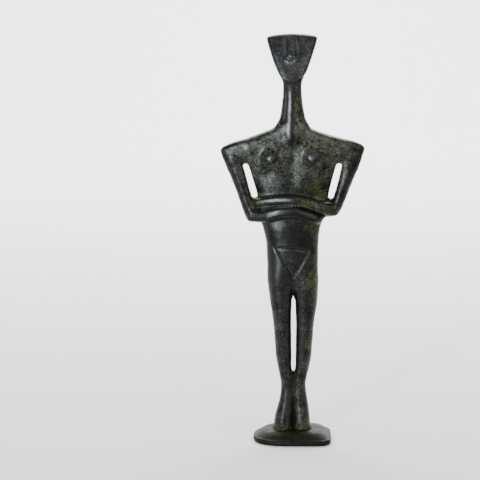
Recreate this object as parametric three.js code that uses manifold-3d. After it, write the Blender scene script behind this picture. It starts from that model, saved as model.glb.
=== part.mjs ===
// A folded-arm figurine of Cycladic type, cast solid in bronze and brazed by its soles
// onto a low, pebble-shaped bronze plinth.
//
// Millimetres, +Z up, the figure facing -Y, +X to the viewer's right. The origin is on
// the surface it stands on, at the middle of the whole object's box.
//
// Every limb is a loft: a row of stations gives its left, right, front and back edges at
// points along its axis, smooth curves run through them, and each section between the
// four edges is a superellipse. The limbs are then joined into one solid.
import * as THREE from "three";
import { ParametricGeometry } from "three/addons/geometries/ParametricGeometry.js";
import { mergeVertices } from "three/addons/utils/BufferGeometryUtils.js";
import Module from "manifold-3d";

// ---- Driving dimensions ----------------------------------------------------------------
const HEIGHT = 241.5; // floor to crown

const PLINTH = {
  left: 23.4, // reach from the middle to each side
  right: 22.9,
  depth: 34, // front to back
  rim: 3.4, // height of the upright edge
  seat: 6.6, // height of the flat that the soles stand on
  seatShare: 0.64, // the flat's size as a share of the outline
  roundEnd: 2.7, // superellipse power of the rounded left end
  squareEnd: 6, // and of the squarer right end
  edge: 1.1, // rounding of the upper and lower edges
};

const BREAST = { out: 11.7, up: 168.5, y: -4.9, radius: 4.0, bulge: 3.2 };

const TRIANGLE = {
  corners: [
    [-10.9, 116.2],
    [10.1, 115.6],
    [-0.2, 96.6],
  ],
  width: 1.3, // of the chased line
  depth: 0.8,
};

// The openings: two inside the folded arms and one between the legs. Each is a slot with
// round ends, cut straight through from front to back between two points [x, z].
const SLOTS = [
  { top: [-27.3, 165.3], bottom: [-22.4, 148.0], radius: 2.2 },
  { top: [27.2, 165.3], bottom: [22.6, 147.2], radius: 2.2 },
  { top: [0.55, 84.9], bottom: [0.5, 42.7], radius: 1.25 },
];

// Stations of the upright limbs: [height, left, right, front, back].
const LIMBS = {
  head: {
    power: 2.7,
    foot: 2.2, // height of the rounded lower end
    crown: 1.4, // and of the rounded upper end
    sides: 24,
    steps: 8,
    stations: [
      [213.4, -5.4, 5.0, -6.9, 0.6],
      [217, -7.2, 6.8, -7.4, 1.2],
      [220, -8.5, 8.05, -6.8, 1.9],
      [224, -10.1, 9.5, -5.8, 2.8],
      [228, -11.5, 10.9, -4.7, 3.7],
      [232, -12.7, 12.2, -3.5, 4.6],
      [236, -13.7, 13.2, -2.2, 5.4],
      [HEIGHT, -14.9, 14.4, -0.6, 6.4],
    ],
  },
  nose: {
    power: 2,
    foot: 0.8,
    crown: 1.2,
    sides: 10,
    steps: 5,
    stations: [
      [226.6, -2.9, 2.0, -7.2, -1.5],
      [228, -2.7, 1.8, -7.3, -1],
      [232, -2.3, 1.4, -5.4, 0],
      [238.6, -2.2, 1.3, -2.2, 2],
    ],
  },
  neck: {
    power: 2.2,
    foot: 4,
    crown: 7,
    sides: 20,
    steps: 8,
    stations: [
      [178, -9.5, 9.4, -5.3, 4.4],
      [187, -9.5, 9.4, -5.6, 4.7],
      [191, -7.9, 7.9, -5.5, 4.7],
      [195, -6.8, 6.9, -5.3, 4.7],
      [202, -5.6, 5.6, -5.0, 4.6],
      [210, -5.3, 4.95, -4.8, 4.5],
      [216, -5.6, 5.2, -4.6, 4.1],
      [226, -5.4, 5.1, -2.8, 3.2],
    ],
  },
  shoulders: {
    power: 3.1,
    foot: 1.6,
    crown: 1.2,
    sides: 28,
    steps: 11,
    stations: [
      [162.6, -37.2, 37.1, -3.8, 3.2],
      [166.8, -39.0, 38.9, -4.7, 4.0],
      [170.5, -40.6, 40.2, -5.1, 4.4],
      [174.5, -41.6, 41.6, -5.3, 4.5],
      [176, -40.8, 41.5, -5.4, 4.5],
      [177.5, -38.5, 40.2, -5.5, 4.5],
      [179.5, -33.5, 35.9, -5.6, 4.5],
      [181.5, -26.4, 28.0, -5.7, 4.5],
      [183.5, -19.9, 19.7, -5.7, 4.5],
      [185.5, -14.5, 13.8, -5.7, 4.6],
      [187.5, -11.1, 10.5, -5.7, 4.7],
      [190.9, -8.2, 8.1, -5.4, 4.6],
    ],
  },
  torso: {
    power: 2.5,
    foot: 9,
    crown: 6,
    sides: 28,
    steps: 12,
    stations: [
      [89, -11.6, 12.4, -6.2, 6.6],
      [96, -13.9, 14.6, -7.2, 7.5],
      [104, -14.6, 14.9, -7.6, 7.9],
      [112, -14.8, 14.9, -7.7, 7.6],
      [120, -15.2, 15.1, -7.8, 7.1],
      [126, -16.3, 15.7, -7.8, 6.8],
      [130, -17.5, 16.6, -7.6, 6.6],
      [136, -19.0, 18.6, -7.2, 6.3],
      [148, -20.4, 20.7, -6.5, 5.8],
      [156, -22.1, 22.6, -6.3, 5.5],
      [164, -24.9, 24.9, -6.1, 5.2],
      [172, -26.5, 26.5, -5.8, 4.8],
      [183, -20, 20, -5.2, 4.2],
    ],
  },
  elbowWeb: {
    power: 3,
    foot: 1.2,
    crown: 1.2,
    sides: 20,
    steps: 5,
    stations: [
      [132.5, -26.2, 12, -3.4, 3.2],
      [134.6, -26.6, 17.9, -3.4, 3.2],
      [136.2, -27.4, 24.8, -3.3, 3.2],
      [137.2, -27.8, 26.6, -3.3, 3.2],
      [140, -28.9, 28.2, -3.1, 3.1],
      [149.6, -27.6, 28.4, -2.8, 2.8],
    ],
  },
  leftArm: {
    power: 2.2,
    foot: 2.4,
    crown: 3,
    sides: 14,
    steps: 8,
    stations: [
      [132.6, -26.8, -18.5, -4.6, 3.0],
      [138, -28.3, -19.5, -4.6, 3.2],
      [144, -30.5, -22.0, -4.3, 3.4],
      [148, -31.9, -24.2, -4.2, 3.5],
      [156, -34.9, -26.7, -4.2, 3.7],
      [164, -38.1, -28.4, -4.3, 3.8],
      [173, -40.6, -30.5, -3.6, 3.0],
    ],
  },
  rightArm: {
    power: 2.2,
    foot: 1.6,
    crown: 3,
    sides: 14,
    steps: 8,
    stations: [
      [135.7, 17.5, 25.9, -4.4, 3.0],
      [140, 20.5, 28.2, -4.4, 3.2],
      [144, 23.0, 30.0, -4.3, 3.4],
      [148, 25.2, 31.8, -4.2, 3.5],
      [156, 27.1, 34.9, -4.2, 3.7],
      [164, 28.7, 37.9, -4.3, 3.8],
      [173, 30.6, 40.4, -3.6, 3.0],
    ],
  },
  leftLeg: {
    power: 2.4,
    foot: 0, // the sole is flat
    crown: 6,
    sides: 18,
    steps: 16,
    stations: [
      [PLINTH.seat, -12.4, -0.5, -9.4, 7.4],
      [10, -11.6, -0.3, -8.9, 6.8],
      [14, -10.6, 0.1, -7.6, 6.0],
      [20, -9.1, 0.5, -6.0, 5.1],
      [28, -6.9, 0.8, -4.8, 4.6],
      [34, -6.5, 1.0, -4.4, 4.7],
      [40, -7.5, 0.8, -4.5, 5.3],
      [44, -8.3, -0.4, -4.7, 5.8],
      [52, -9.7, -0.6, -5.2, 6.5],
      [60, -10.2, -0.8, -5.8, 6.5],
      [68, -10.8, -0.9, -6.4, 6.1],
      [76, -11.7, -0.8, -6.7, 6.6],
      [84, -12.9, -0.2, -7.0, 7.2],
      [92, -13.9, 0.9, -7.3, 7.7],
      [100, -14.6, 1.2, -7.5, 7.8],
      [116, -11.5, 1.2, -6.0, 6.0],
    ],
  },
  rightLeg: {
    power: 2.4,
    foot: 0,
    crown: 6,
    sides: 18,
    steps: 16,
    stations: [
      [PLINTH.seat, 0.3, 11.6, -9.2, 7.4],
      [10, 0.2, 10.9, -8.7, 6.8],
      [14, 0.2, 10.0, -7.4, 6.0],
      [20, 0.1, 9.4, -5.9, 5.1],
      [28, -0.1, 8.2, -4.8, 4.6],
      [34, -0.2, 7.6, -4.4, 4.7],
      [40, 0.1, 8.65, -4.5, 5.3],
      [44, 1.4, 9.7, -4.7, 5.8],
      [52, 1.9, 11.1, -5.2, 6.5],
      [60, 2.1, 11.7, -5.8, 6.5],
      [68, 2.2, 12.2, -6.4, 6.1],
      [76, 1.9, 13.2, -6.7, 6.6],
      [84, 1.2, 14.4, -7.0, 7.2],
      [92, 0.1, 15.0, -7.3, 7.7],
      [100, -0.2, 15.1, -7.5, 7.8],
      [116, -0.2, 12.2, -6.0, 6.0],
    ],
  },
};

// Stations of the forearms, which lie across: [x, lower edge, upper edge, front, back].
const FOREARMS = {
  lowerForearm: {
    power: 2.1,
    foot: 1.5,
    crown: 2.2,
    sides: 12,
    steps: 12,
    stations: [
      [-26.4, 133.0, 140.5, -4.6, 2],
      [-20, 132.8, 138.6, -6.6, 0],
      [-14, 133.2, 139.6, -8.5, -2],
      [-8, 135.0, 141.3, -9.6, -3],
      [0, 135.7, 141.9, -10.1, -4],
      [8, 133.6, 140.2, -9.7, -3],
      [14, 131.9, 138.0, -8.6, -2],
      [18.4, 132.8, 136.2, -6.4, 0],
    ],
  },
  upperForearm: {
    power: 2.1,
    foot: 1.6,
    crown: 1.6,
    sides: 12,
    steps: 12,
    stations: [
      [-21.6, 141.8, 145.3, -5.6, 0],
      [-15, 142.3, 147.0, -8.1, -2],
      [-7, 142.6, 148.2, -9.4, -3],
      [1, 142.6, 148.4, -9.8, -4],
      [9, 141.0, 147.3, -9.4, -3],
      [16, 138.2, 145.2, -8.2, -2],
      [21, 136.4, 144.0, -6.4, 0],
      [26.6, 136.2, 142.6, -4.6, 2],
    ],
  },
};

const BRONZE = { color: 0x2c302e, roughness: 0.42, metalness: 0.75 };
const PLINTH_BRONZE = { color: 0x34322f, roughness: 0.5, metalness: 0.7 };

// ---- Surfaces --------------------------------------------------------------------------

// The station heights where sections are cut: evenly along the limb, and by equal angles
// over its rounded ends.
function cuts(start, end, foot, crown, steps) {
  const round = 4;
  const at = [start];
  for (let i = 1; i <= round && foot > 0; i++)
    at.push(start + foot * (1 - Math.cos((i / round) * (Math.PI / 2))));
  const from = start + foot;
  const to = end - crown;
  for (let i = 1; i <= steps; i++) at.push(from + ((to - from) * i) / steps);
  for (let i = 1; i <= round && crown > 0; i++)
    at.push(to + crown * Math.sin((i / round) * (Math.PI / 2)));
  return at;
}

// How much of its full size a section keeps at a distance from the limb's end, so that
// the end is domed.
function dome(distance, length) {
  if (distance >= length) return 1;
  const share = 1 - distance / length;
  return Math.sqrt(Math.max(0, 1 - share * share));
}

// A closed loft through stations of [along, edge, edge, edge, edge]. `place` turns
// (along, across, deep) into a point. A grow of -1 makes it 1 mm smaller all round.
function loft({ stations, power, foot, crown, sides, steps }, place, grow = 0) {
  const along = stations.map((row) => row[0]);
  const edges = stations.flatMap((row) => row.slice(1));
  const curve = new THREE.CubicInterpolant(along, edges, 4);
  const [start, end] = [along[0], along.at(-1)];
  const at = cuts(start, end, foot, crown, steps);
  const rings = at.length + (foot === 0 ? 1 : 0); // a flat end needs its own middle point
  const surface = (u, v, point) => {
    const ring = Math.round(v * (rings - 1)) - (rings - at.length);
    const s = at[Math.max(ring, 0)];
    const [a0, a1, b0, b1] = curve.evaluate(s);
    const size =
      ring < 0
        ? 0
        : (foot > 0 ? dome(s - start, foot) : 1) * dome(end - s, crown);
    const turn = (u % 1) * 2 * Math.PI;
    const reach = (value, half) =>
      Math.sign(value) * Math.abs(value) ** (2 / power) * (half + grow) * size;
    const across = (a0 + a1) / 2 + reach(Math.cos(turn), (a1 - a0) / 2);
    const deep = (b0 + b1) / 2 + reach(Math.sin(turn), (b1 - b0) / 2);
    place(point, s, across, deep);
  };
  return new ParametricGeometry(surface, sides, rings - 1);
}

const upright = (point, s, across, deep) => point.set(across, deep, s);
const sideways = (point, s, across, deep) => point.set(s, deep, across);

// The plinth's surface: a profile from the middle of its underside, out round the edge
// and up over the mound to the flat seat, carried round a superellipse outline.
function plinthSurface() {
  const { left, right, depth, rim, seat, seatShare, roundEnd, squareEnd, edge } =
    PLINTH;
  const inset = edge / (depth / 2);
  const profile = [[0, 0], [1 - inset, 0]];
  const turns = 3;
  for (let i = 1; i <= turns; i++) {
    const a = (i / turns) * (Math.PI / 2);
    profile.push([1 - inset + inset * Math.sin(a), edge * (1 - Math.cos(a))]);
  }
  for (let i = 0; i <= turns; i++) {
    const a = (i / turns) * (Math.PI / 2);
    profile.push([1 - inset + inset * Math.cos(a), rim - edge + edge * Math.sin(a)]);
  }
  const mound = 5;
  for (let i = 1; i <= mound; i++) {
    const t = i / mound;
    const share = 1 - inset - t * (1 - inset - seatShare);
    profile.push([share, rim + (seat - rim) * Math.sin((t * Math.PI) / 2)]);
  }
  profile.push([0, seat]);
  const surface = (u, v, point) => {
    const [share, z] = profile[Math.round(v * (profile.length - 1))];
    const turn = (u % 1) * 2 * Math.PI;
    const [c, s] = [Math.cos(turn), Math.sin(turn)];
    const power = c < 0 ? roundEnd : squareEnd;
    const half = c < 0 ? left : right;
    const x = Math.sign(c) * Math.abs(c) ** (2 / power) * half;
    const y = Math.sign(s) * Math.abs(s) ** (2 / power) * (depth / 2);
    point.set(x * share, y * share, z);
  };
  return new ParametricGeometry(surface, 48, profile.length - 1);
}

// ---- Solids ----------------------------------------------------------------------------
const wasm = await Module();
wasm.setup();

function solid(geometry) {
  const bare = geometry.clone();
  bare.deleteAttribute("normal");
  bare.deleteAttribute("uv");
  const merged = mergeVertices(bare, 1e-4);
  const index = merged.index.array;
  const triVerts = [];
  for (let i = 0; i < index.length; i += 3) {
    const [a, b, c] = [index[i], index[i + 1], index[i + 2]];
    if (a !== b && b !== c && c !== a) triVerts.push(a, b, c);
  }
  const make = (order) =>
    new wasm.Manifold(
      new wasm.Mesh({
        numProp: 3,
        vertProperties: merged.attributes.position.array,
        triVerts: new Uint32Array(order),
      }),
    );
  const made = make(triVerts);
  return made.volume() < 0 ? make(triVerts.reverse()) : made;
}

function geometry(manifold) {
  const { vertProperties, triVerts } = manifold.getMesh();
  const made = new THREE.BufferGeometry();
  made.setAttribute("position", new THREE.BufferAttribute(vertProperties, 3));
  made.setIndex(new THREE.BufferAttribute(triVerts, 1));
  return made;
}

function breast(side) {
  const bump = new THREE.SphereGeometry(1, 14, 10);
  bump.scale(BREAST.radius, BREAST.bulge, BREAST.radius);
  bump.translate(side * BREAST.out, BREAST.y, BREAST.up);
  return solid(bump);
}

// A three-sided prism standing across the belly: the triangle, grown by an offset.
function trianglePrism(offset) {
  const points = TRIANGLE.corners.map(([x, z]) => new THREE.Vector2(x, z));
  const middle = new THREE.Vector2();
  points.forEach((p) => middle.addScaledVector(p, 1 / points.length));
  const area = Math.abs(THREE.ShapeUtils.area(points));
  const sides = points.map((p, i) => p.distanceTo(points[(i + 1) % points.length]));
  const inradius = (2 * area) / sides.reduce((sum, side) => sum + side);
  const scale = 1 + offset / inradius;
  points.forEach((p) => p.sub(middle).multiplyScalar(scale).add(middle));
  const outline = new THREE.Shape(points);
  const prism = new THREE.ExtrudeGeometry(outline, { depth: 12, bevelEnabled: false });
  prism.rotateX(Math.PI / 2);
  return solid(prism);
}

// A cutter for one opening.
function slot({ top, bottom, radius }) {
  const [tx, tz] = top;
  const [bx, bz] = bottom;
  const lean = Math.atan2(tz - bz, tx - bx);
  const outline = new THREE.Shape();
  outline.absarc(tx, tz, radius, lean - Math.PI / 2, lean + Math.PI / 2);
  outline.absarc(bx, bz, radius, lean + Math.PI / 2, lean + (3 * Math.PI) / 2);
  const reach = 12;
  const prism = new THREE.ExtrudeGeometry(outline, {
    depth: 2 * reach,
    curveSegments: 8,
    bevelEnabled: false,
  });
  prism.rotateX(Math.PI / 2);
  prism.translate(0, reach, 0);
  return solid(prism);
}

// The chased line along the triangle's sides, cut to an even depth below the belly.
function triangleGroove() {
  const band = trianglePrism(TRIANGLE.width / 2).subtract(
    trianglePrism(-TRIANGLE.width / 2),
  );
  return band.subtract(solid(loft(LIMBS.torso, upright, -TRIANGLE.depth)));
}

function figureSolid() {
  const limbs = [
    ...Object.values(LIMBS).map((limb) => solid(loft(limb, upright))),
    ...Object.values(FOREARMS).map((limb) => solid(loft(limb, sideways))),
    breast(-1),
    breast(1),
  ];
  const joined = limbs.reduce((whole, limb) => whole.add(limb));
  const cutters = [triangleGroove(), ...SLOTS.map(slot)];
  return cutters.reduce((whole, cutter) => whole.subtract(cutter), joined);
}

// ---- The object ------------------------------------------------------------------------
function piece(name, shape, finish) {
  const mesh = new THREE.Mesh(shape, new THREE.MeshStandardMaterial(finish));
  mesh.name = name;
  return mesh;
}

const figurine = new THREE.Group();
figurine.add(piece("figure", geometry(figureSolid()), BRONZE));
figurine.add(piece("plinth", plinthSurface(), PLINTH_BRONZE));

export default figurine;
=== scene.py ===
"""The looks of a folded-arm bronze figurine that stands on a pebble-shaped plinth.

The casting is one flowing skin, so it is made as a field: a number at every point of space
that is negative in the metal, zero on its surface and positive outside, in millimetres.
Each limb gives a field, the fields are melted together with soft unions, the openings are
cut out, and the chased and cast detail is added. The skin is the field's zero surface.
"""

import itertools

import bpy
import numpy as np
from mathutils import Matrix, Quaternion, Vector


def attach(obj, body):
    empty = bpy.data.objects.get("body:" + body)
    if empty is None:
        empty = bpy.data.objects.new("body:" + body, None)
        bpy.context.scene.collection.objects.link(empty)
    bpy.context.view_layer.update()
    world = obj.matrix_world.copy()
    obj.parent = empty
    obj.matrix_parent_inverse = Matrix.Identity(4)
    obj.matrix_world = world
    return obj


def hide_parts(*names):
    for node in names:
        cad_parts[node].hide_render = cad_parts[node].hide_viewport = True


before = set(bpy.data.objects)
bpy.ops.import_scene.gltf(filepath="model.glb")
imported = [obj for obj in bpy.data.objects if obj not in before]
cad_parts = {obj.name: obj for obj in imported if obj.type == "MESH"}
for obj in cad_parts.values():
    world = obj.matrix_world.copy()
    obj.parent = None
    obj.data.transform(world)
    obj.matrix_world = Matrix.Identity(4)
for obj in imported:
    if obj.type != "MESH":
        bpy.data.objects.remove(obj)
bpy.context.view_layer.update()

MM = 0.001

# ---- Sizes, in millimetres ---------------------------------------------------------------
CROWN = 241.5
SEAT = 6.6  # the flat of the plinth that the soles stand on
CELL = 0.54  # spacing of the grid that the skin is cut from

# Stations of the upright limbs: [height, left, right, front, back]. "square" is the power
# of the superellipse section, "foot" and "crown" round the two ends.
HEAD = {
    "square": 4.4,
    "foot": 0.7,
    "crown": 1.5,
    "stations": [
        [215.9, -3.0, 0.9, -7.3, -0.2],
        [216.7, -4.9, 3.0, -7.6, 0.4],
        [217.8, -6.6, 5.2, -7.6, 0.9],
        [219.2, -7.6, 7.0, -7.3, 1.5],
        [221.5, -8.75, 8.2, -6.8, 2.1],
        [225, -10.15, 9.45, -5.9, 2.9],
        [229, -11.6, 10.85, -4.8, 3.8],
        [233, -12.8, 12.15, -3.6, 4.7],
        [237, -13.9, 13.4, -2.3, 5.5],
        [CROWN, -14.9, 14.4, -0.8, 6.4],
    ],
}
NECK = {
    "square": 2.1,
    "foot": 3,
    "crown": 5,
    "stations": [
        [178, -9.5, 9.4, -5.0, 4.4],
        [187, -9.6, 9.4, -5.8, 4.7],
        [191, -7.9, 7.8, -5.8, 4.7],
        [195, -6.8, 6.9, -5.6, 4.7],
        [202, -5.75, 5.7, -5.2, 4.6],
        [210, -5.35, 5.1, -4.9, 4.5],
        [214.5, -5.6, 5.5, -4.7, 4.2],
        [217.5, -7.1, 6.6, -4.5, 3.9],
        [221, -7.9, 7.4, -4.0, 3.6],
        [228, -8.6, 8.0, -2.4, 3.2],
    ],
}
THROAT = {
    "square": 2,
    "foot": 1,
    "crown": 5,
    "stations": [
        [174.5, -7.3, 6.3, -5.2, 8.4],
        [179, -7.4, 6.4, -6.5, 7.3],
        [184, -7.5, 6.5, -7.0, 7.0],
        [190, -7.4, 6.6, -6.7, 7.1],
        [198, -6.2, 5.7, -5.7, 6.0],
        [208, -4.9, 4.5, -4.5, 5.0],
    ],
}
SHOULDERS = {
    "square": 3.1,
    "foot": 3,
    "crown": 1.2,
    "stations": [
        [160.5, -36.5, 36.5, -3.6, 3.1],
        [166.8, -39.0, 38.9, -4.6, 3.9],
        [170.5, -40.6, 40.2, -5.0, 4.3],
        [174.5, -41.7, 41.6, -5.3, 4.5],
        [176, -40.8, 41.5, -5.4, 4.5],
        [177.5, -38.5, 40.2, -5.5, 4.5],
        [179.5, -33.5, 35.9, -5.6, 4.5],
        [181.5, -26.4, 28.0, -5.7, 4.5],
        [183.5, -21.0, 20.9, -5.7, 4.5],
        [185.5, -15.6, 14.9, -5.7, 4.6],
        [187.5, -11.1, 10.5, -5.6, 4.7],
        [190.9, -8.2, 8.1, -5.3, 4.6],
    ],
}
TORSO = {
    "square": 2.3,
    "foot": 9,
    "crown": 8,
    "stations": [
        [88, -10, 10.6, -5.4, 5.8],
        [96, -13.2, 13.7, -6.6, 6.9],
        [104, -14.4, 14.6, -7.5, 7.6],
        [112, -15, 14.9, -7.9, 7.6],
        [120, -15.4, 15.1, -8.1, 7.1],
        [126, -16.5, 15.7, -8.3, 6.8],
        [130, -17.5, 16.4, -8.2, 6.6],
        [136, -19.0, 18.6, -7.6, 6.3],
        [148, -21.4, 21.5, -6.5, 5.8],
        [156, -23.4, 23.6, -6.2, 5.5],
        [164, -25.9, 25.8, -6.0, 5.2],
        [172, -26.5, 26.5, -5.6, 4.8],
        [183, -18, 18, -4.8, 4.0],
    ],
}
ELBOW_WEB = {
    "square": 3,
    "foot": 1.2,
    "crown": 2,
    "stations": [
        [132.9, -25.8, 12, -3.2, 3.2],
        [134.6, -26.6, 17.2, -3.3, 3.2],
        [136.2, -27.3, 24.4, -3.3, 3.2],
        [137.2, -27.7, 26.4, -3.2, 3.2],
        [140, -28.8, 27.9, -3.1, 3.1],
        [150, -27.6, 28.4, -2.8, 2.8],
    ],
}
LEFT_ARM = {
    "square": 2.1,
    "foot": 2.4,
    "crown": 4,
    "stations": [
        [132.7, -26.6, -18.5, -4.4, 3.0],
        [138, -28.2, -19.5, -4.8, 3.3],
        [144, -30.5, -22.0, -4.6, 3.5],
        [148, -31.9, -23.2, -4.5, 3.6],
        [156, -34.9, -25.6, -4.5, 3.8],
        [164, -38.0, -27.9, -4.6, 3.9],
        [174, -40.8, -29.8, -4.4, 3.6],
    ],
}
RIGHT_ARM = {
    "square": 2.1,
    "foot": 1.4,
    "crown": 4,
    "stations": [
        [135.9, 17.5, 25.4, -4.2, 3.0],
        [140, 20.5, 28.2, -4.6, 3.3],
        [144, 22.6, 30.0, -4.6, 3.5],
        [148, 23.8, 31.8, -4.5, 3.6],
        [156, 25.8, 34.9, -4.5, 3.8],
        [164, 27.7, 37.9, -4.6, 3.9],
        [174, 29.8, 40.6, -4.4, 3.6],
    ],
}
LEFT_LEG = {
    "square": 2.15,
    "foot": 0.6,
    "crown": 8,
    "stations": [
        [SEAT - 0.6, -11.3, -0.4, -7.6, 7.0],
        [10, -11.0, -0.3, -7.6, 6.6],
        [14, -10.4, 0.1, -7.2, 6.0],
        [20, -8.95, 0.5, -6.0, 5.1],
        [28, -7.1, 0.8, -4.8, 4.6],
        [34, -6.7, 1.0, -4.4, 4.7],
        [40, -7.7, 0.8, -4.5, 5.3],
        [44, -8.5, -0.4, -4.7, 5.8],
        [52, -9.9, -0.6, -5.2, 6.5],
        [60, -10.4, -0.8, -5.8, 6.5],
        [68, -11, -0.9, -6.4, 6.1],
        [76, -11.9, -0.8, -6.7, 6.6],
        [84, -13.1, -0.2, -7.1, 7.2],
        [92, -14.1, 0.9, -7.4, 7.7],
        [100, -14.7, 1.0, -7.6, 7.8],
        [118, -11.7, 0.6, -5.6, 5.6],
    ],
}
RIGHT_LEG = {
    "square": 2.15,
    "foot": 0.6,
    "crown": 8,
    "stations": [
        [SEAT - 0.6, 0.2, 10.8, -7.4, 7.0],
        [10, 0.2, 10.5, -7.4, 6.6],
        [14, 0.2, 10.0, -7.0, 6.0],
        [20, 0.1, 9.4, -5.9, 5.1],
        [28, -0.1, 8.2, -4.8, 4.6],
        [34, -0.2, 7.6, -4.4, 4.7],
        [40, 0.1, 8.65, -4.5, 5.3],
        [44, 1.4, 9.7, -4.7, 5.8],
        [52, 1.9, 11.1, -5.2, 6.5],
        [60, 2.1, 11.7, -5.8, 6.5],
        [68, 2.2, 12.2, -6.4, 6.1],
        [76, 1.9, 13.2, -6.7, 6.6],
        [84, 1.2, 14.4, -7.1, 7.2],
        [92, 0.1, 15.0, -7.4, 7.7],
        [100, 0.0, 15.0, -7.6, 7.8],
        [118, 0.4, 12.2, -5.6, 5.6],
    ],
}

# Stations of the forearms, which lie across: [x, lower edge, upper edge, front, back].
# "tilt" leans the front of the forearm back, in millimetres per millimetre of height.
LOWER_FOREARM = {
    "tilt": 0.05,
    "square": 2.8,
    "foot": 1.5,
    "crown": 3,
    "stations": [
        [-26.4, 133.0, 140.5, -4.6, 2],
        [-20, 132.8, 139.9, -6.8, 0],
        [-14, 133.4, 141.0, -8.9, -2],
        [-8, 135.0, 142.4, -10.1, -3],
        [0, 135.7, 142.6, -10.5, -4],
        [8, 133.6, 140.2, -9.9, -3],
        [14, 131.9, 138.0, -8.6, -2],
        [18.4, 133.0, 136.4, -5.6, 0],
    ],
}
UPPER_FOREARM = {
    "tilt": 0.09,
    "square": 3.0,
    "foot": 1.6,
    "crown": 1.6,
    "stations": [
        [-22.0, 142.4, 145.9, -5.4, 0],
        [-15, 143.1, 147.8, -7.5, -2],
        [-7, 143.6, 148.8, -9.1, -3],
        [1, 143.2, 148.8, -10.1, -4],
        [9, 141.0, 147.3, -9.4, -3],
        [16, 138.2, 145.2, -8.1, -2],
        [21, 136.4, 144.0, -6.3, 0],
        [26.4, 136.2, 142.6, -4.4, 2],
    ],
}

# The three openings: (top x, top height), (bottom x, bottom height), radius.
OPENINGS = [
    ((-27.2, 165.2), (-22.3, 148.1), 1.85),
    ((27.0, 165.2), (22.4, 147.3), 1.85),
    ((0.55, 84.7), (0.5, 42.9), 0.95),
]

# Places on the front, as (x, height). The triangle's corners go round from its left end.
BREASTS = [(-12.7, 170.2), (11.4, 170.4)]
BREAST_RADIUS = 6.0
SHOULDER_SWELLINGS = [(-25.2, 174.8), (28.5, 173.6)]
TRIANGLE = [(-10.9, 117.7), (1.5, 117.4), (9.9, 115.5), (0.5, 99.2)]
NOSE_TIP = (-1.3, 228.9)
THROAT_FOOT = 213  # the height at which the neck goes in under the chin

# The cuts between the toes: (x, depth).
TOE_CUTS = [
    (-9.9, 0.3),
    (-7.9, 0.45),
    (-5.9, 0.35),
    (-3.6, 0.5),
    (3.4, 0.5),
    (5.3, 0.3),
    (7.4, 0.45),
    (9.3, 0.3),
]

# "left" and "right" reach out from the middle. "seat_share" is the flat top's share of the
# outline, and the two ends' numbers are the powers of their superellipses.
PLINTH = {
    "left": 23.4,
    "right": 22.9,
    "depth": 34,
    "rim": 3.4,
    "edge": 1.1,
    "seat_share": 0.64,
    "round_end": 2.7,
    "square_end": 6.0,
}

# The paper sweep, in metres: it lies flat up to "bend", curves up with the radius "curve",
# and stands "top" high.
FLOOR = {"half_width": 3, "front": -2, "bend": 1.2, "curve": 0.8, "top": 3.5}


# ---- Curves and fields -------------------------------------------------------------------
def through(stations, at):
    """The four edges of a limb at the places `at`: a smooth curve through its stations.
    Between two stations it is the cubic whose slopes at them are the mean slopes of the
    stretches on either side."""
    table = np.asarray(stations, float)
    s, edges = table[:, 0], table[:, 1:]
    slope = np.diff(edges, axis=0) / np.diff(s)[:, None]
    slopes = np.vstack([slope[:1], (slope[1:] + slope[:-1]) / 2, slope[-1:]])
    fine = np.arange(s[0], s[-1] + 0.1, 0.1).clip(s[0], s[-1])
    i = np.clip(np.searchsorted(s, fine, side="right") - 1, 0, len(s) - 2)
    h = s[i + 1] - s[i]
    t = ((fine - s[i]) / h)[:, None]
    h = h[:, None]
    curve = (
        (2 * t**3 - 3 * t**2 + 1) * edges[i]
        + (t**3 - 2 * t**2 + t) * h * slopes[i]
        + (3 * t**2 - 2 * t**3) * edges[i + 1]
        + (t**3 - t**2) * h * slopes[i + 1]
    )
    return [np.interp(at, fine, column) for column in curve.T]


def limb_field(along, across, deep, limb):
    """Distance to a limb whose axis runs along `along`. With u and v the offsets from the
    middle of the section as shares of its half sizes, r = (u^p + v^p)^(1/p) is 1 on the
    surface, and (r - 1) over the length of its gradient is the distance to the side. The
    side and the two end planes meet in a round of the radius `foot` or `crown`."""
    stations, power = limb["stations"], limb["square"]
    first, last = stations[0][0], stations[-1][0]
    far = 6.0
    field = np.full(along.shape, far)
    near = (along > first - far) & (along < last + far)
    s, a, d = along[near], across[near], deep[near]
    a0, a1, d0, d1 = through(stations, s)
    u = np.abs(a - (a0 + a1) / 2) / ((a1 - a0) / 2) + 1e-6
    v = np.abs(d - (d0 + d1) / 2) / ((d1 - d0) / 2) + 1e-6
    r = (u**power + v**power) ** (1 / power)
    steep_a = (u / r) ** (power - 1) / ((a1 - a0) / 2)
    steep_d = (v / r) ** (power - 1) / ((d1 - d0) / 2)
    side = (r - 1) / np.sqrt(steep_a**2 + steep_d**2)
    low, high = limb["foot"], limb["crown"]
    for end, radius in ((first - s, low), (s - last, high)):
        x, y = side + radius, end + radius
        corner = np.sqrt(np.maximum(x, 0) ** 2 + np.maximum(y, 0) ** 2)
        side = corner + np.minimum(np.maximum(x, y), 0) - radius
    field[near] = np.minimum(side, far)
    return field


def soft_union(a, b, reach):
    """The nearer of two fields, melted together where they differ by less than `reach`."""
    h = np.maximum(reach - np.abs(a - b), 0) / reach
    return np.minimum(a, b) - h * h * reach / 4


def soft_cut(a, b, reach):
    """Field a with field b cut out of it, the edge of the cut rounded over `reach`."""
    return -soft_union(-a, b, reach)


def stroke(x, z, start, end):
    """Distance in the (x, z) plane from each point to the line from start to end."""
    (x0, z0), (x1, z1) = start, end
    dx, dz = x1 - x0, z1 - z0
    t = np.clip(((x - x0) * dx + (z - z0) * dz) / (dx * dx + dz * dz), 0, 1)
    return np.hypot(x - x0 - t * dx, z - z0 - t * dz)


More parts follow.
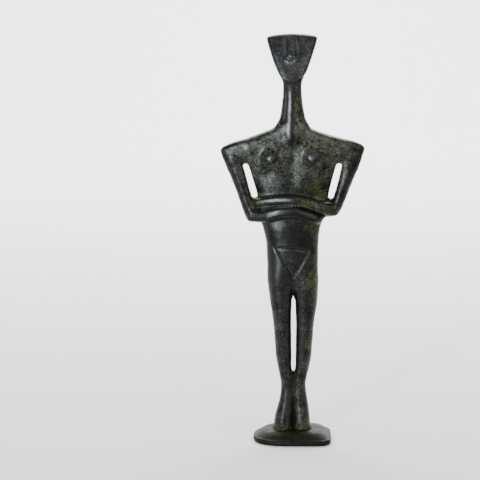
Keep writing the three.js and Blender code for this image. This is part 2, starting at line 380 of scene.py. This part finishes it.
def bell(distance, width):
    """A smooth bump: 1 at no distance, 0.37 at `width`."""
    return np.exp(-((distance / width) ** 2))


def fade(value, start, end):
    """0 before start, 1 past end, a smooth step between."""
    t = np.clip((value - start) / (end - start), 0, 1)
    return t * t * (3 - 2 * t)


def waves(x, y, z, length, seed):
    """Gentle unevenness, mostly between -1 and 1: a sum of sine waves of about that length
    in directions drawn from a fixed seed."""
    rng = np.random.default_rng(seed)
    count = 9
    total = np.zeros(np.shape(x))
    for _ in range(count):
        way = rng.normal(size=3)
        way *= 2 * np.pi / length / np.linalg.norm(way) * rng.uniform(0.7, 1.4)
        total += np.sin(way[0] * x + way[1] * y + way[2] * z + rng.uniform(0, 6.28))
    return total / np.sqrt(count) / 1.5


# ---- The figure --------------------------------------------------------------------------
def limbs_field(x, y, z):
    """All limbs of the casting, melted together, and the openings cut out. The throat's limb
    is kept to the front half, the forearms lean back, and the head is bowed, 1.5 mm lower
    at 14 mm out from its middle."""
    legs = soft_union(limb_field(z, x, y, LEFT_LEG), limb_field(z, x, y, RIGHT_LEG), 0.9)
    body = soft_union(limb_field(z, x, y, TORSO), legs, 1.6)
    body = soft_union(body, limb_field(z, x, y, SHOULDERS), 3.0)
    body = soft_union(body, limb_field(z, x, y, ELBOW_WEB), 2.4)
    for arm in (LEFT_ARM, RIGHT_ARM):
        body = soft_union(body, limb_field(z, x, y, arm), 1.6)
    body = soft_union(body, limb_field(z, x, y, NECK), 2.4)
    front_of_throat = np.maximum(limb_field(z, x, y, THROAT), y)
    body = soft_union(body, front_of_throat, 1.0)
    for top, bottom, radius in OPENINGS:
        body = soft_cut(body, stroke(x, z, top, bottom) - radius, 1.2)
    for forearm in (LOWER_FOREARM, UPPER_FOREARM):
        leaning = y - forearm["tilt"] * (z - 142)
        body = soft_union(body, limb_field(x, z, leaning, forearm), 1.1)
    for out, up in BREASTS:
        ball = np.sqrt((x - out) ** 2 + (y + 2.8) ** 2 + (z - up) ** 2)
        body = soft_union(body, ball - BREAST_RADIUS, 1.8)
    bowed = z + 1.5 * (x / 14) ** 2
    return soft_union(body, limb_field(bowed, x, y, HEAD), 0.7)


def crescent(x, z):
    """1 along the small rim under the tip of the nose."""
    rim = np.abs(np.hypot(x - NOSE_TIP[0], z - NOSE_TIP[1]) - 3.1)
    return bell(rim, 0.5) * fade(-z, -228.0, -226.8)


def forearm_groove(x):
    """The height of the groove between the forearms, an arch."""
    return 143.1 - 0.010 * x**2 - 0.03 * x


def finger_beads(x, z):
    """1 on each of a row of small beads in the groove between the forearms."""
    beads = np.zeros(np.shape(x))
    for out in np.arange(-17.5, 5, 1.9):
        beads += bell(np.hypot(x - out, z - forearm_groove(out)), 0.6)
    return beads


def chin_edge(x):
    """The height of the lower edge of the face, a shallow bow."""
    return 215.6 + 0.058 * (x + 1) ** 2


def triangle_line(x, z):
    """Distance to the outline of the triangle."""
    corners = TRIANGLE + TRIANGLE[:1]
    return np.min([stroke(x, z, a, b) for a, b in itertools.pairwise(corners)], axis=0)


def relief(x, y, z):
    """Height of the cast and chased detail above the plain limbs: that of the front, that
    of the back, and the unevenness of the whole."""
    height = np.zeros(np.shape(x))

    # belly and thighs: the triangle's line, and the line down between the thighs
    height -= 0.42 * bell(triangle_line(x, z), 0.7)
    height -= 0.8 * bell(stroke(x, z, (0.3, 98), (-0.2, 86)), 0.9)

    # chest: two soft lobes with a valley between them
    chest = fade(z, 150, 160) * (1 - fade(z, 176, 182))
    height -= 0.5 * chest * bell(x + 0.6, 3.6)
    height += 0.35 * chest * bell(np.abs(x) - 9, 6)
    for out, up in SHOULDER_SWELLINGS:
        height += 0.5 * bell(np.hypot(x - out, z - up), 3.0)

    # the nose between two cut lines, shallow at the brow, and the small rim under its tip
    face = fade(z, 216, 218)
    nose = bell(x + 0.8, 2.1) * fade(z, 227.6, 228.8)
    height += face * nose * (0.75 - 0.6 * fade(z, 229, 239))
    height -= 0.6 * face * bell(np.abs(x + 0.4) - 3.2, 0.7) * fade(z, 228.5, 230)
    height += 0.3 * bell(np.hypot(x + 1.3, z - 229.2), 0.8)
    height += 0.5 * crescent(x, z)

    # hands and feet: the beads of the fingers, and short uneven cuts between the toes, half
    # lost in the lumpy braze round the soles
    height += 0.35 * finger_beads(x, z)
    for out, depth in TOE_CUTS:
        cut = stroke(x, z, (out, SEAT - 1), (out * 0.93, SEAT + 4.0))
        height -= depth * bell(cut, 0.5)
    height *= fade(-y, -1.5, 0.5)

    # the back: a shallow spine line and the line between the buttocks
    back = fade(y, -0.5, 1.5)
    height -= 0.5 * back * bell(x, 1.8) * fade(z, 108, 118) * (1 - fade(z, 172, 184))
    height -= 0.7 * back * bell(x - 0.3, 1.0) * fade(z, 86, 92) * (1 - fade(z, 104, 112))

    # everywhere: the unevenness of a surface finished by hand, and the braze on the soles
    height += 0.10 * waves(x, y, z, 16, 1) + 0.05 * waves(x, y, z, 6, 2)
    braze = 0.1 + 0.7 * waves(x, y, z, 2.4, 3) + 0.5 * waves(x, y, z, 6, 4)
    height += braze * (1 - fade(z, SEAT, SEAT + 4))
    return height


def figure_field(points):
    """The whole casting: the limbs less the relief on them. The skin stands a thin layer
    proud of the stations."""
    layer = 0.15
    x, y, z = points.T
    return limbs_field(x, y, z) - relief(x, y, z) - layer


def skin(field, low, high, cell):
    """The zero surface of a field, by surface nets: space is cut into cubes, each cube that
    the surface crosses gets one vertex at the mean of the crossings of its twelve edges,
    and each grid edge that the surface crosses gets the face of its four cubes."""
    axes = [np.arange(a, b, cell) for a, b in zip(low, high, strict=True)]
    grid = np.stack(np.meshgrid(*axes, indexing="ij"), axis=-1)
    value = field(grid.reshape(-1, 3)).reshape(grid.shape[:3])
    inside = value < 0
    offsets = np.array(list(itertools.product((0, 1), repeat=3)))
    cubes = [n - 1 for n in inside.shape]
    count = np.zeros(cubes, int)
    for i, j, k in offsets:
        count += inside[i : i + cubes[0], j : j + cubes[1], k : k + cubes[2]]
    crossed = np.argwhere((count > 0) & (count < 8))
    number = np.full(cubes, -1)
    number[tuple(crossed.T)] = np.arange(len(crossed))

    corner = [value[tuple((crossed + o).T)] for o in offsets]
    place, hits = np.zeros(crossed.shape), np.zeros(len(crossed))
    for a, b in itertools.combinations(range(8), 2):
        if np.abs(offsets[a] - offsets[b]).sum() != 1:
            continue
        cut = (corner[a] < 0) != (corner[b] < 0)
        t = corner[a][cut] / (corner[a][cut] - corner[b][cut])
        place[cut] += offsets[a] + t[:, None] * (offsets[b] - offsets[a])
        hits[cut] += 1
    vertices = np.asarray(low) + cell * (crossed + place / hits[:, None])

    faces = []
    for axis in range(3):
        side, other = (axis + 1) % 3, (axis + 2) % 3
        s, o = np.eye(3, dtype=int)[[side, other]]
        starts = np.argwhere(np.diff(inside, axis=axis))
        starts = starts[(starts[:, side] > 0) & (starts[:, other] > 0)]
        ring = [starts - s - o, starts - o, starts, starts - s]
        quads = np.stack([number[tuple(cube.T)] for cube in ring], axis=1)
        leaves = inside[tuple(starts.T)]
        faces.append(np.where(leaves[:, None], quads, quads[:, ::-1]))
    return vertices, np.vstack(faces)


def slope(field, points, step=0.05):
    """The field's gradient at the points, by central differences."""
    return np.stack(
        [(field(points + d) - field(points - d)) / (2 * step) for d in np.eye(3) * step],
        axis=1,
    )


def settle(field, points, faces, rounds=3):
    """Evens the vertices out by moving each half way to the mean of its neighbours, then
    brings it back onto the zero surface by one Newton step along the gradient, a few times
    over."""
    edges = np.vstack([faces[:, [i, (i + 1) % 4]] for i in range(4)])
    share = np.bincount(edges[:, 0], minlength=len(points))[:, None]
    for _ in range(rounds):
        mean = np.stack(
            [np.bincount(edges[:, 0], points[edges[:, 1], i], len(points)) for i in range(3)],
            axis=1,
        )
        points = 0.5 * points + 0.5 * mean / share
        gradient = slope(field, points)
        size = (gradient**2).sum(axis=1) + 1e-6
        step = np.clip(field(points) / size, -0.4, 0.4)
        points = points - step[:, None] * gradient
    return points


def shelter(field, points, normals, reach):
    """How much metal stands round each point: 0 in the open, 1 deep in a hollow. It is how
    far the field at a place `reach` away along the normal falls short of `reach`, as a
    share of it."""
    return np.clip(1 - field(points + normals * reach) / reach, -1, 1)


def mesh_object(name, vertices, faces, marks):
    """A smooth mesh from points in metres, with one number per vertex for each mark."""
    mesh = bpy.data.meshes.new(name)
    mesh.from_pydata(vertices.tolist(), [], faces)
    mesh.polygons.foreach_set("use_smooth", np.ones(len(faces), bool))
    for mark, values in marks.items():
        layer = mesh.attributes.new(mark, "FLOAT", "POINT")
        layer.data.foreach_set("value", np.asarray(values, np.float32))
    mesh.update()
    made = bpy.data.objects.new(name, mesh)
    bpy.context.scene.collection.objects.link(made)
    return made


# ---- The marks that age and handling leave on the bronze --------------------------------
def patch(x, z, place, size):
    """A soft patch: 1 at its place, fading out over its size."""
    return np.exp(-(((x - place[0]) / size[0]) ** 2) - ((z - place[1]) / size[1]) ** 2)


def highlight_and_wear_depth(x, y, z):
    """Where the colour is made pale, about 0 to 1: painted highlights on the rim under
    the nose, its tip, the left of the chin's edge, the right line of the triangle, the
    right side of the nose and the upper left of the breasts, and metal worn pale by
    handling on the fingers."""
    # painted highlights on the rim under the nose and on its tip
    depth = 0.8 * crescent(x, z) + bell(np.hypot(x + 1.3, z - 229.6), 0.7)
    # painted highlight along the left of the chin's edge
    depth += 0.35 * bell(z - chin_edge(x) - 0.6, 0.6) * fade(-x, -2, 2) * fade(x, -7, -5)
    depth += 0.6 * finger_beads(x, z)
    # painted highlight on the right line of the triangle
    depth += 0.3 * bell(stroke(x, z, *TRIANGLE[2:]), 0.5)
    # painted highlight down the right side of the nose
    depth += 0.25 * bell(stroke(x, z, (3.3, 229), (2.6, 238)), 0.5)
    # painted highlights on the breasts, set up and to the left
    for out, up in BREASTS:
        depth += 0.6 * patch(x, z, (out - 0.3, up + 0.4), (1.3, 1.9))
    return depth * fade(-y, -1, 0)


def matt_depth(z, hollow):
    """How much duller than polished the metal is, as an addition to its roughness: in the
    hollows, on the legs, and where the neck goes in under the chin."""
    depth = 0.25 * fade(hollow, 0.2, 0.8) + 0.08 * (1 - fade(z, 108, 122))
    return depth + 0.2 * bell(z - THROAT_FOOT, 4)


def shade_and_soiling_depth(x, y, z, hollow):
    """Where the colour is darkened, 0 to 1: painted shade and soiling in the small
    hollows, darker towards the soles, painted shadow under the chin, painted shade in the
    lines of the triangle that carry no painted highlight, and painted shade beside the
    nose."""
    front = fade(-y, -1, 1)
    # soiling and painted shade in the small hollows, and darker towards the soles
    depth = np.maximum(0.8 * fade(hollow, 0.15, 0.6), 0.45 * (1 - fade(z, 9, 18)))
    # painted shadow: a dark band under the chin's edge
    under_chin = bell(z - chin_edge(x) + 1.8, 1.3) * fade(-z, -218, -216)
    depth = np.maximum(depth, 0.75 * front * under_chin)
    # painted shade along the top and left lines of the triangle
    for start, end in (TRIANGLE[:2], TRIANGLE[1:3], (TRIANGLE[3], TRIANGLE[0])):
        depth = np.maximum(depth, 0.85 * front * bell(stroke(x, z, start, end), 0.55))
    # painted shade down both sides of the nose
    for out in (-3.2, 1.6):
        beside_nose = stroke(x, z, (out, 230), (out * 0.9, 238.5))
        depth = np.maximum(depth, 0.6 * front * bell(beside_nose, 0.9))
    return depth


def pitting(z, patina):
    """How strongly the dark pits show, 0 to 1: in the patina and down the legs, and less on
    the face."""
    share = 0.35 + 0.65 * fade(patina, 0.0, 0.35) + 0.15 * (1 - fade(z, 100, 125))
    return np.minimum(share, 1) * (1 - 0.55 * fade(z, 214, 219))


def coolness(x, z):
    """Where the grey is bluish instead of greenish, 0 to 1: the face, and the left of the
    legs."""
    return 0.9 * fade(z, 212, 222) + 0.4 * fade(-x, 0, 6) * (1 - fade(z, 110, 130))


def patina_depth(x, y, z):
    """How thick the grey-green patina lies, about 0 to 1: thick on the shoulders and the
    chest, middling elsewhere, and on the front worn off where hands and sleeves touch it:
    the belly, the left thigh and forearm, the breasts and the column of the throat. Under
    the chin a band is cleared of it too, so that the dark metal there is painted shade."""
    depth = 0.27 + 0.31 * fade(z, 146, 168) - 0.08 * fade(z, 212, 218)
    depth -= 0.06 * fade(z, 70, 85) * (1 - fade(z, 115, 130)) + 0.08 * fade(z, 224, 236)
    worn = 0.18 * patch(x, z, (2, 122), (10, 12)) + 0.15 * patch(x, z, (-11, 105), (6, 16))
    # the band at THROAT_FOOT: patina cleared under the chin, as painted shade
    worn += 0.42 * patch(x, z, (-11, 142.5), (11, 6)) + 0.3 * bell(z - THROAT_FOOT, 2.5)
    for place in BREASTS:
        worn += 0.6 * patch(x, z, place, (3.2, 3.4))
    column = fade((z - 176) * 0.45 - np.abs(x + 0.5), -0.8, 0.8) * (1 - fade(z, 207, 213))
    worn += column * (0.25 - 0.25 * fade(x, 0.5, 2.5) + 0.45 * (1 - fade(x, -1, 1)))
    thick = 0.32 * patch(x, z, (15, 181), (12, 9)) + 0.15 * patch(x, z, (14, 160), (9, 9))
    thick += 0.15 * patch(x, z, (4, 200), (3, 14))
    return depth + (thick - worn) * fade(-y, -2, 1) - 0.3 * fade(np.abs(x), 30, 38)


def verdigris_depth(x, y, z):
    """Where the yellow-green verdigris gathers, 0 to 1: the pocket of the left elbow, the
    right of the chest, the hip and the right thigh, the groove between the forearms, the
    feet and the legs, and the right of the body."""
    depth = 0.9 * patch(x, z, (-20, 143.5), (5, 4)) + 0.7 * patch(x, z, (-15, 149), (7, 2))
    depth += 0.4 * patch(x, z, (13, 150), (12, 10)) + 0.2 * patch(x, z, (14, 130), (7, 5))
    depth += 0.4 * patch(x, z, (9, 97), (6, 7)) + 0.4 * patch(x, z, (24, 137), (5, 3))
    depth += 0.25 * patch(x, z, (14.5, 110), (3, 26))
    depth += 0.5 * bell(z - forearm_groove(x), 0.9) * fade(-np.abs(x), -18, -8)
    depth *= 0.25 + 0.75 * fade(-y, -3, 1)
    depth += 0.42 * (1 - fade(z, 8, 14)) + 0.3 * (1 - fade(z, 20, 95))
    return depth + 0.3 * fade(x, -4, 12) * (1 - fade(z, 210, 225))


def figure():
    """The skin of the casting, with the marks that its finish reads."""
    low, high = (-45.0, -13.0, SEAT - 3), (45.0, 10.5, CROWN + 3)
    vertices, faces = skin(figure_field, low, high, CELL)
    vertices = settle(figure_field, vertices, faces)
    normals = slope(figure_field, vertices)
    normals /= np.linalg.norm(normals, axis=1)[:, None]
    wide_hollow = shelter(figure_field, vertices, normals, 2.6)
    small_hollow = shelter(figure_field, vertices, normals, 0.8)
    x, y, z = vertices.T
    patina = patina_depth(x, y, z)
    marks = {
        # soiling and painted shade
        "shade_and_soiling": shade_and_soiling_depth(x, y, z, small_hollow),
        "pits": pitting(z, patina),
        "cool": coolness(x, z),
        "matt": matt_depth(z, wide_hollow),
        # painted highlights, and metal worn pale on the fingers
        "highlight_and_wear": highlight_and_wear_depth(x, y, z),
        "patina": patina,
        "verdigris": verdigris_depth(x, y, z),
    }
    return mesh_object("figure_bronze", vertices * MM, faces.tolist(), marks)


# ---- The plinth --------------------------------------------------------------------------
def braze_collar(x, y):
    """1 under and close round the feet, fading out over the plinth."""
    return np.exp(-((x / 14) ** 4) - ((y / 11) ** 4))


def plinth():
    """A closed surface of two parameters. The first runs along a profile, from the middle
    of the underside out round the edge and up over the mound, given as (share of the
    outline, height). The second runs round the outline, a superellipse whose left half is
    rounder than its right half. The top is a little uneven and rises to a lumpy fillet of
    braze round the feet."""
    p = PLINTH
    inset = p["edge"] / (p["depth"] / 2)
    turn = np.linspace(0, np.pi / 2, 9)[1:]
    under = [(t, 0.0) for t in np.linspace(0, 1 - inset, 24)]
    lower = [(1 - inset + inset * np.sin(a), p["edge"] * (1 - np.cos(a))) for a in turn]
    upper = [
        (1 - inset + inset * np.cos(a), p["rim"] - p["edge"] + p["edge"] * np.sin(a))
        for a in np.append(0, turn)
    ]
    climb = np.linspace(0, 1, 40)[1:]
    mound = [
        (
            1 - inset - t * (1 - inset - p["seat_share"]),
            p["rim"] + (SEAT - p["rim"]) * np.sin(t * np.pi / 2),
        )
        for t in climb
    ]
    top = [(t, SEAT) for t in np.linspace(p["seat_share"], 0, 30)[1:]]
    share, height = np.array(under + lower + upper + mound + top).T
    around = np.linspace(0, 2 * np.pi, 360, endpoint=False)
    c, s = np.cos(around), np.sin(around)
    power = np.where(c < 0, p["round_end"], p["square_end"])
    half = np.where(c < 0, p["left"], p["right"])
    x = np.sign(c) * np.abs(c) ** (2 / power) * half
    y = np.sign(s) * np.abs(s) ** (2 / power) * p["depth"] / 2
    inner = slice(1, -1)
    rings, turns = len(share) - 2, len(around)
    px = np.outer(share[inner], x)
    py = np.outer(share[inner], y)
    pz = np.outer(height[inner], np.ones(turns))
    up = fade(pz, 0.5, 2.0)
    wobble = 0.12 * waves(px, py, pz, 14, 5) + 0.05 * waves(px, py, pz, 4, 6)
    pz = pz + up * (wobble + braze_collar(px, py) * (1.1 + 0.5 * waves(px, py, pz, 5, 7)))
    vertices = np.vstack(
        [
            np.stack([px.ravel(), py.ravel(), pz.ravel()], axis=1),
            [[0, 0, height[0]], [0, 0, height[-1]]],
        ]
    )
    ring, step = np.meshgrid(np.arange(rings - 1), np.arange(turns), indexing="ij")
    a = (ring * turns + step).ravel()
    b = (ring * turns + (step + 1) % turns).ravel()
    quads = np.stack([a, b, b + turns, a + turns], axis=1)
    steps = np.arange(turns)
    after = (steps + 1) % turns
    last = (rings - 1) * turns
    bottom_cap = np.stack([np.full(turns, rings * turns), after, steps], axis=1)
    top_cap = np.stack([np.full(turns, rings * turns + 1), last + steps, last + after], axis=1)
    faces = quads.tolist() + bottom_cap.tolist() + top_cap.tolist()
    vx, vy, _ = vertices.T
    # round the feet and in a patch in front of them: painted contact shadow, with verdigris
    verdigris_and_contact_shade = braze_collar(vx * 0.85, vy * 0.85) + 0.8 * patch(vx, vy, (0, -11), (5, 3))
    marks = {"verdigris": np.minimum(verdigris_and_contact_shade, 1)}
    return mesh_object("plinth_bronze", vertices * MM, faces, marks)


# ---- Finishes ----------------------------------------------------------------------------
class Finish:
    """A material's node tree, written one node at a time. Each method adds a node and gives
    back the socket that its result leaves by."""

    def __init__(self, name):
        self.material = bpy.data.materials.new(name)
        self.material.use_nodes = True
        self.tree = self.material.node_tree
        self.tree.nodes.clear()
        self.shader = self.node("ShaderNodeBsdfPrincipled")
        output = self.node("ShaderNodeOutputMaterial")
        self.link(self.shader.outputs[0], output.inputs["Surface"])
        self.place = self.node("ShaderNodeTexCoord").outputs["Object"]

    def node(self, kind, **settings):
        made = self.tree.nodes.new(kind)
        for key, value in settings.items():
            setattr(made, key, value)
        return made

    def link(self, source, target):
        self.tree.links.new(source, target)

    def feed(self, target, value):
        """Links a socket to the target, or sets the target to a plain value."""
        if isinstance(value, bpy.types.NodeSocket):
            self.link(value, target)
        else:
            target.default_value = value

    def noise(self, size_mm, detail=4.0, roughness=0.6):
        """Cloudy noise through the metal, with lumps of about that size."""
        made = self.node("ShaderNodeTexNoise")
        self.link(self.place, made.inputs["Vector"])
        made.inputs["Scale"].default_value = 1 / (size_mm * MM)
        made.inputs["Detail"].default_value = detail
        made.inputs["Roughness"].default_value = roughness
        return made.outputs["Fac"]

    def ramp(self, value, start, end, low=0.0, high=1.0):
        """A smooth step from low, where the value is start, to high, where it is end."""
        made = self.node("ShaderNodeMapRange", interpolation_type="SMOOTHSTEP")
        self.link(value, made.inputs["Value"])
        limits = (start, end, low, high)
        for name, limit in zip(("From Min", "From Max", "To Min", "To Max"), limits, strict=True):
            made.inputs[name].default_value = limit
        return made.outputs["Result"]

    def reckon(self, operation, a, b):
        made = self.node("ShaderNodeMath", operation=operation)
        self.feed(made.inputs[0], a)
        self.feed(made.inputs[1], b)
        return made.outputs[0]

    def add(self, a, b):
        return self.reckon("ADD", a, b)

    def less(self, a, b):
        return self.reckon("SUBTRACT", a, b)

    def times(self, a, b):
        return self.reckon("MULTIPLY", a, b)

    def larger(self, a, b):
        return self.reckon("MAXIMUM", a, b)

    def blend(self, share, under, over):
        """The colour under where the share is 0, the colour over where it is 1."""
        made = self.node("ShaderNodeMix", data_type="RGBA")
        self.link(share, made.inputs["Factor"])
        self.feed(made.inputs["A"], under)
        self.feed(made.inputs["B"], over)
        return made.outputs["Result"]

    def mark(self, name):
        """One of the numbers that the piece's vertices carry."""
        return self.node("ShaderNodeAttribute", attribute_name=name).outputs["Fac"]

    def bump(self, height, depth_mm):
        """Roughens the surface by that depth where the height goes from 0 to 1."""
        made = self.node("ShaderNodeBump")
        made.inputs["Strength"].default_value = 1.0
        made.inputs["Distance"].default_value = depth_mm * MM
        self.link(height, made.inputs["Height"])
        self.link(made.outputs["Normal"], self.shader.inputs["Normal"])


# Colours of the figure, and of the plinth.
POLISHED = (0.0040, 0.0040, 0.0030, 1)
GREY_GREEN = (0.0380, 0.0410, 0.0280, 1)
PALE_GREEN = (0.0800, 0.0870, 0.0640, 1)
GREY = (0.0430, 0.0430, 0.0470, 1)
OLIVE = (0.0330, 0.0390, 0.0090, 1)
PALE_OLIVE = (0.0750, 0.0820, 0.0300, 1)
# the dark colour of soiling and of painted shade
SHADE_AND_SOILING = (0.0040, 0.0042, 0.0030, 1)
# the pale colour of worn metal and of painted highlights
PALE_WEAR_AND_HIGHLIGHT = (0.1700, 0.1850, 0.1800, 1)
PLINTH_GREY = (0.0034, 0.0032, 0.0024, 1)
PLINTH_OLIVE = (0.0085, 0.0082, 0.0056, 1)


def bronze_finish():
    """Dark polished bronze under a grey-green patina that lies in fine speckles, olive
    verdigris in its places, dark pits, soiling and painted shade in the hollows, painted
    shadow under the chin, and pale worn metal and painted highlights on the ridges."""
    f = Finish("patinated_bronze")
    fine = f.noise(1.2, detail=3, roughness=0.65)
    coarse = f.noise(6.0, detail=3, roughness=0.6)
    grain = f.add(f.times(fine, 1.6), coarse)

    # where each layer lies: a speckle is where the grain and the layer's mark together pass
    # a threshold
    patina = f.ramp(f.add(grain, f.mark("patina")), 1.55, 2.02)
    verdigris = f.ramp(f.add(grain, f.mark("verdigris")), 1.68, 2.02)
    crumbs = f.ramp(f.add(f.noise(0.9, detail=1), f.times(verdigris, 0.5)), 1.08, 1.18)
    grit = f.ramp(f.noise(0.8, detail=3, roughness=0.7), 0.42, 0.68)
    patchy = f.times(f.noise(7.0, detail=3), 0.5)
    specks = f.ramp(f.add(f.noise(1.5, detail=5, roughness=0.75), patchy), 0.68, 0.90)
    # dark: the pits, and the soiling and painted shade of the mark
    dark = f.larger(f.times(specks, f.mark("pits")), f.mark("shade_and_soiling"))
    # pale spots: painted highlights, and metal worn pale on the fingers
    wear_and_highlight = f.times(f.mark("highlight_and_wear"), f.ramp(fine, 0.3, 0.6))

    # the layers' colours, from the metal up
    grey = f.blend(f.mark("cool"), f.blend(grit, GREY_GREEN, PALE_GREEN), GREY)
    crust = f.blend(crumbs, f.blend(verdigris, grey, OLIVE), PALE_OLIVE)
    base = f.blend(f.larger(patina, verdigris), POLISHED, crust)
    base = f.blend(wear_and_highlight, f.blend(dark, base, SHADE_AND_SOILING), PALE_WEAR_AND_HIGHLIGHT)
    f.link(base, f.shader.inputs["Base Color"])
    f.shader.inputs["Metallic"].default_value = 0.3

    # the gloss: less where the patina is thick, and little in the pits, soiling and painted shade
    shine = f.ramp(f.mark("patina"), -0.25, 0.2, 0.75, 0.40)
    clean = f.ramp(dark, 0.0, 1.0, 1.0, 0.35)
    f.link(f.times(shine, clean), f.shader.inputs["Specular IOR Level"])
    satin = f.ramp(f.mark("patina"), -0.2, 0.45, 0.30, 0.37)
    f.link(f.add(satin, f.mark("matt")), f.shader.inputs["Roughness"])
    pitted = f.less(f.noise(4.0, detail=2), f.times(specks, 0.6))
    f.bump(f.times(pitted, f.ramp(f.mark("patina"), 0.1, 0.5, 0.25, 1.0)), 0.035)
    return f.material


def plinth_finish():
    """Smooth brownish grey bronze, darkened round and in front of the feet by painted
    contact shadow and soiling, and touched with verdigris there.
    """
    f = Finish("plinth_bronze_brown")
    mottle = f.noise(4.0, detail=5)
    speckle = f.noise(1.0, detail=3)
    brown = f.blend(f.ramp(mottle, 0.4, 0.6), PLINTH_GREY, PLINTH_OLIVE)
    # darker round and in front of the feet: painted contact shadow and soiling
    contact_shade_and_soiling = f.times(f.mark("verdigris"), 0.8)
    green = f.times(f.times(f.mark("verdigris"), f.ramp(speckle, 0.45, 0.6)), 0.7)
    base = f.blend(green, f.blend(contact_shade_and_soiling, brown, SHADE_AND_SOILING), OLIVE)
    f.link(base, f.shader.inputs["Base Color"])
    f.shader.inputs["Metallic"].default_value = 0.4
    f.shader.inputs["Specular IOR Level"].default_value = 0.16
    f.link(f.ramp(speckle, 0.3, 0.7, 0.45, 0.6), f.shader.inputs["Roughness"])
    f.bump(f.add(speckle, mottle), 0.03)
    return f.material


# ---- The pieces --------------------------------------------------------------------------
figure_bronze = figure()
figure_bronze.data.materials.append(bronze_finish())
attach(figure_bronze, "root")
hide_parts("figure")

plinth_bronze = plinth()
plinth_bronze.data.materials.append(plinth_finish())
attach(plinth_bronze, "root")
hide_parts("plinth")


# ---- The stage ---------------------------------------------------------------------------
WHITE_PAPER = (0.9, 0.9, 0.9, 1)
GREY_PAPER = (0.06, 0.06, 0.06, 1)


def paper_finish():
    """White paper that shades to dark grey towards the front, so that the bronze stays
    dark."""
    f = Finish("paper")
    split = f.node("ShaderNodeSeparateXYZ")
    f.link(f.place, split.inputs[0])
    towards_back = f.ramp(split.outputs["Y"], -0.26, -0.07)
    f.link(f.blend(towards_back, GREY_PAPER, WHITE_PAPER), f.shader.inputs["Base Color"])
    f.shader.inputs["Roughness"].default_value = 0.9
    f.shader.inputs["Specular IOR Level"].default_value = 0.1
    return f.material


def floor():
    """A paper sweep: a profile of (run, rise) carried across, flat under the figurine, then
    a quarter circle, then straight up."""
    width, bend, radius = FLOOR["half_width"], FLOOR["bend"], FLOOR["curve"]
    turn = np.linspace(0.1, np.pi / 2, 12)
    flat = np.linspace(FLOOR["front"], bend, 17)
    run = np.concatenate([flat, bend + radius * np.sin(turn), [bend + radius]])
    rise = np.concatenate([np.zeros(len(flat)), radius * (1 - np.cos(turn)), [FLOOR["top"]]])
    across = np.linspace(-width, width, 13)
    px, py = np.meshgrid(across, run, indexing="ij")
    pz = np.broadcast_to(rise, px.shape)
    vertices = np.stack([px.ravel(), py.ravel(), pz.ravel()], axis=1)
    i, j = np.meshgrid(np.arange(len(across) - 1), np.arange(len(run) - 1), indexing="ij")
    a = (i * len(run) + j).ravel()
    faces = np.stack([a, a + len(run), a + len(run) + 1, a + 1], axis=1)
    return mesh_object("floor", vertices, faces.tolist(), {})


def softbox(name, place, target, width, height, power, colour=(1, 1, 1)):
    """A flat lamp at a place, in metres, that faces a target."""
    lamp = bpy.data.lights.new(name, "AREA")
    lamp.shape = "RECTANGLE"
    lamp.size, lamp.size_y = width, height
    lamp.energy = power
    lamp.color = colour
    made = bpy.data.objects.new(name, lamp)
    made.location = place
    made.rotation_euler = (Vector(target) - Vector(place)).to_track_quat("-Z", "Y").to_euler()
    bpy.context.scene.collection.objects.link(made)


def camera():
    """Looks down ten and a half degrees from 1.08 m away, aimed a little to the left of the
    figure, and rolled by a hair so that the figure stands upright in the frame."""
    lens = bpy.data.cameras.new("camera")
    lens.lens, lens.sensor_width = 137.75, 36
    made = bpy.data.objects.new("camera", lens)
    down, away = np.radians(10.5), 1.08
    middle = Vector((0, 0, 0.12))
    made.location = middle + Vector((0, -away * np.cos(down), away * np.sin(down)))
    aim = Vector((-0.0309, 0, 0.1211))
    look = (aim - made.location).to_track_quat("-Z", "Y")
    roll = Quaternion((0, 0, 1), np.radians(-0.3))
    made.rotation_euler = (look @ roll).to_euler()
    bpy.context.scene.collection.objects.link(made)
    bpy.context.scene.camera = made


def surroundings():
    """A dim white studio all round."""
    world = bpy.data.worlds.new("studio")
    world.use_nodes = True
    background = world.node_tree.nodes["Background"]
    background.inputs["Color"].default_value = (1, 1, 1, 1)
    background.inputs["Strength"].default_value = 0.15
    bpy.context.scene.world = world


paper_floor = floor()
paper_floor.data.materials.append(paper_finish())
softbox("strip_left", (-0.43, -0.94, 0.20), (0, 0, 0.16), 0.055, 0.36, 11.5, (0.84, 0.93, 1.0))
softbox("side_left", (-1.02, -0.27, 0.32), (0, 0, 0.15), 0.5, 0.6, 2.5, (0.9, 0.92, 1.0))
softbox("front", (0.58, -0.95, 0.55), (0, 0, 0.2), 0.9, 0.9, 7.5, (1.0, 0.98, 0.92))
softbox("overhead", (0.0, 0.1, 1.4), (0, 0, 0), 1.2, 1.2, 9)
softbox("behind", (0.0, 1.1, 1.3), (0, 1.6, 0), 2.4, 0.9, 95)
camera()
surroundings()
